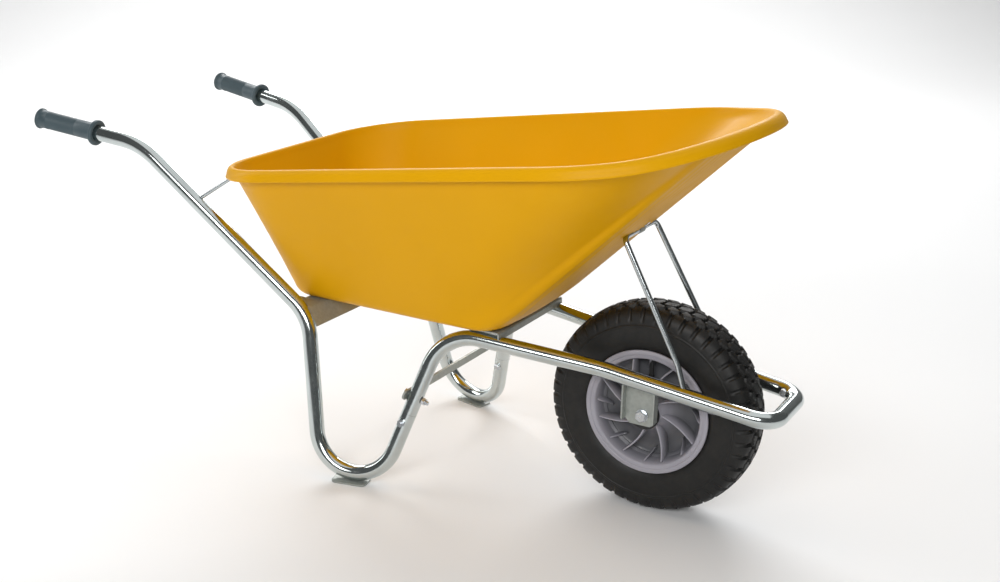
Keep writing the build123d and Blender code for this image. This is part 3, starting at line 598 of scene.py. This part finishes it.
# Half of the rim's section, from the tyre side over the flange and down the dish to the hub's bore
RIM_SECTION = [(0.0920, 0.0160), (0.1020, 0.0240), (0.1030, 0.0395), (0.1165, 0.0415),
               (0.1188, 0.0430), (0.1194, 0.0455), (0.1188, 0.0472), (0.1172, 0.0480), (0.1118, 0.0480),
               (0.1106, 0.0474), (0.1098, 0.0462), (0.1046, 0.0456), (0.1032, 0.0448), (0.1018, 0.0420),
               (0.0998, 0.0320), (0.0982, 0.0240), (0.0960, 0.0180), (0.0915, 0.0135), (0.0840, 0.0112),
               (0.0740, 0.0112), (0.0640, 0.0132), (0.0540, 0.0168), (0.0450, 0.0222), (0.0375, 0.0295),
               (0.0325, 0.0370), (0.0300, 0.0440), (0.0292, 0.0500), (0.0284, 0.0518), (0.0268, 0.0520),
               (0.01505, 0.0520)]
RIB_COUNT = 8
RIB_SWEEP = -24
RIB_OFFSET = -2
RIB_HALF_THICKNESS = 0.0017
RIB_ROOT = 0.006
RIB_DRAFT = 1.5
RIB_STEPS = 16
LONG_RIB = dict(start=0.0295, end=0.1000, high=0.0455, low=0.0395, sweep=RIB_SWEEP, bow=0.68)
SHORT_RIB = dict(start=0.0780, end=0.1000, high=0.0190, low=0.0385, sweep=-9, bow=0.60)


def wheel_point(radius, degrees, side):
    angle = math.radians(degrees)
    return Vector((AXLE.x + radius * math.cos(angle), side, AXLE.z + radius * math.sin(angle)))


def rib(turn, sign, start, end, high, low, sweep, bow):
    """One curved rib that stands on the dish, on the side given by sign, rounded along its top."""
    rows = []
    for i in range(RIB_STEPS + 1):
        t = i / RIB_STEPS
        radius = lerp(start, end, t)
        angle = turn + sweep * (2 * bow * t * (1 - t) + t * t)
        top = lerp(high, low, smoothstep(0.0, 1.0, t)) * sign
        root = RIB_ROOT * sign
        across = math.degrees(RIB_HALF_THICKNESS / radius)
        rows.append([wheel_point(radius, angle - across * RIB_DRAFT, root),
                     wheel_point(radius, angle - across, top - 0.0012 * sign),
                     wheel_point(radius, angle - across * 0.6, top - 0.0002 * sign),
                     wheel_point(radius, angle + across * 0.6, top - 0.0002 * sign),
                     wheel_point(radius, angle + across, top - 0.0012 * sign),
                     wheel_point(radius, angle + across * RIB_DRAFT, root)])
    return loft(rows, cap_start=True, cap_end=True)


def build_rim():
    section = RIM_SECTION + [(r, -y) for r, y in reversed(RIM_SECTION)]
    rows = [[wheel_point(r, 360 * i / RIM_SEGMENTS, y) for r, y in section] for i in range(RIM_SEGMENTS)]
    parts = [loft(rows, closed_rows=True, closed_loft=True)]
    for sign in (1, -1):
        for index in range(RIB_COUNT):
            turn = RIB_OFFSET + 360 * index / RIB_COUNT
            parts.append(rib(turn, sign, **LONG_RIB))
            parts.append(rib(turn + 180 / RIB_COUNT + RIB_SWEEP / 2, sign, **SHORT_RIB))
    rim = make_piece("rim_moulding", *merge(parts), RIM_PLASTIC, 40)
    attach(rim, "wheel")
    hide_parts("wheel_rim")


build_rim()

# ---------------------------------------------------------------- grips
GRIP_SEGMENTS = 64
# Each point is a distance from the closed end, as a share of the grip's length, and a radius
GRIP_PROFILE = [(0.000, 0.0120), (0.000, 0.0196), (0.003, 0.0207), (0.008, 0.0212), (0.018, 0.0213),
                (0.025, 0.0209), (0.031, 0.0196), (0.038, 0.0186), (0.048, 0.0182), (0.150, 0.0180),
                (0.154, 0.0184), (0.166, 0.0184), (0.170, 0.0179), (0.640, 0.0178), (0.645, 0.0173),
                (0.653, 0.0173), (0.658, 0.0178), (0.905, 0.0180), (0.925, 0.0186), (0.934, 0.0205),
                (0.940, 0.0236), (0.946, 0.0253), (0.956, 0.0260), (0.974, 0.0262), (0.989, 0.0258),
                (0.998, 0.0248), (1.000, 0.0235), (0.997, 0.0200), (0.990, 0.0182), (0.980, 0.0164),
                (0.975, 0.0152)]
GRIP_DIRECTION = Vector((0.247, 0.034, -0.033)).normalized()


def end_to_end(node, along):
    """The two ends of a round piece's centre line, found from its points."""
    points = [v.co for v in nodes[node].data.vertices]
    reaches = [p.dot(along) for p in points]
    end_face = [p for p, reach in zip(points, reaches) if reach < min(reaches) + 0.0002]
    corners = [max(end_face, key=lambda p: p.dot(d)) for d in (UP, -UP)]
    start = (corners[0] + corners[1]) / 2
    return start, start + along * (max(reaches) - min(reaches))


def build_grip(side):
    mirror = 1 if side == "right" else -1
    direction = Vector((GRIP_DIRECTION.x, mirror * GRIP_DIRECTION.y, GRIP_DIRECTION.z))
    start, end = end_to_end(f"{side}_grip", direction)
    along = end - start
    turn = along.to_track_quat("Z", "Y").to_matrix().to_4x4()
    rows = []
    for i in range(GRIP_SEGMENTS):
        angle = 2 * math.pi * i / GRIP_SEGMENTS
        ring = [Vector((r * math.cos(angle), r * math.sin(angle), share * along.length))
                for share, r in GRIP_PROFILE]
        rows.append([Matrix.Translation(start) @ turn @ p for p in ring])
    points, faces = loft(rows, closed_rows=False, closed_loft=True)
    width = len(GRIP_PROFILE)
    faces.append(tuple(i * width for i in range(GRIP_SEGMENTS)))
    grip = make_piece(f"{side}_grip_sleeve", points, faces, GRIP_PLASTIC, 50)
    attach(grip, "frame")
    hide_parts(f"{side}_grip")


build_grip("right")
build_grip("left")

# ---------------------------------------------------------------- floor, light and camera
CAD_LOW, CAD_HIGH = cad_box
MIDDLE = (CAD_LOW + CAD_HIGH) / 2
FLOOR_HALF_SIZE = 14.0
CAMERA_FROM_AXLE = Vector((0.8520, -2.1218, 0.9595))
CAMERA_YAW = 32.94
CAMERA_PITCH = 19.16
CAMERA_ROLL = -0.10
LENS = 47.38
SHIFT = (0.0815, 0.0216)


def stage_material():
    s = Shader("pale_floor")
    s.colour(s.mix(s.noise(0.6, 2.0), (0.84, 0.84, 0.84), (0.88, 0.88, 0.88)))
    s.roughness(s.between(s.noise(2.0), 0.0, 1.0, 0.75, 0.85))
    return s.material


def build_stage():
    """A pale floor that curves up into a backdrop far behind the barrow."""
    profile = [(-FLOOR_HALF_SIZE, 0.0), (4.0, 0.0)]
    profile += [(4.0 + 2.5 * math.sin(a), 2.5 - 2.5 * math.cos(a))
                for a in (math.pi / 2 * i / 12 for i in range(1, 13))]
    profile.append((6.5, 9.0))
    rows = [[Vector((x, y, z)) for y, z in profile] for x in (-FLOOR_HALF_SIZE, FLOOR_HALF_SIZE)]
    points, faces = loft(rows, closed_rows=False)
    stage = make_piece("floor_sweep", points, faces, stage_material())
    stage.rotation_euler.z = math.radians(CAMERA_YAW)


def add_light(name, place, size, power, tint=(1.0, 1.0, 1.0)):
    data = bpy.data.lights.new(name, "AREA")
    data.shape = "RECTANGLE"
    data.size, data.size_y = size
    data.energy = power
    data.color = tint
    lamp = bpy.data.objects.new(name, data)
    bpy.context.scene.collection.objects.link(lamp)
    lamp.location = MIDDLE + Vector(place)
    lamp.rotation_euler = (-Vector(place)).to_track_quat("-Z", "Y").to_euler()
    return lamp


def build_light():
    """A dim room, a soft light overhead, a long strip by the camera, a fill and one for the backdrop."""
    world = bpy.data.worlds.new("studio")
    world.use_nodes = True
    world.node_tree.nodes["Background"].inputs["Color"].default_value = (0.62, 0.64, 0.64, 1)
    world.node_tree.nodes["Background"].inputs["Strength"].default_value = 0.17
    bpy.context.scene.world = world
    add_light("overhead", (0.3, 0.3, 3.0), (5.0, 4.0), 50)
    add_light("camera_side", (1.2, -3.4, 1.7), (3.4, 1.0), 92)
    add_light("left", (-3.4, -0.8, 1.4), (1.0, 2.4), 36)
    add_light("backdrop", (-2.6, 4.2, 3.4), (6.0, 2.0), 330)
    bpy.context.scene.view_settings.view_transform = "Standard"


def build_camera():
    data = bpy.data.cameras.new("camera")
    data.sensor_width = 36.0
    data.lens = LENS
    data.shift_x, data.shift_y = SHIFT
    camera = bpy.data.objects.new("camera", data)
    bpy.context.scene.collection.objects.link(camera)
    yaw, pitch = math.radians(CAMERA_YAW), math.radians(CAMERA_PITCH)
    back = Vector((math.sin(yaw) * math.cos(pitch), -math.cos(yaw) * math.cos(pitch), math.sin(pitch)))
    turn = (-back).to_track_quat("-Z", "Y").to_matrix().to_4x4()
    roll = Matrix.Rotation(math.radians(CAMERA_ROLL), 4, "Z")
    camera.matrix_world = Matrix.Translation(AXLE + CAMERA_FROM_AXLE) @ turn @ roll
    bpy.context.scene.camera = camera


build_stage()
build_light()
build_camera()

bpy.context.view_layer.update()
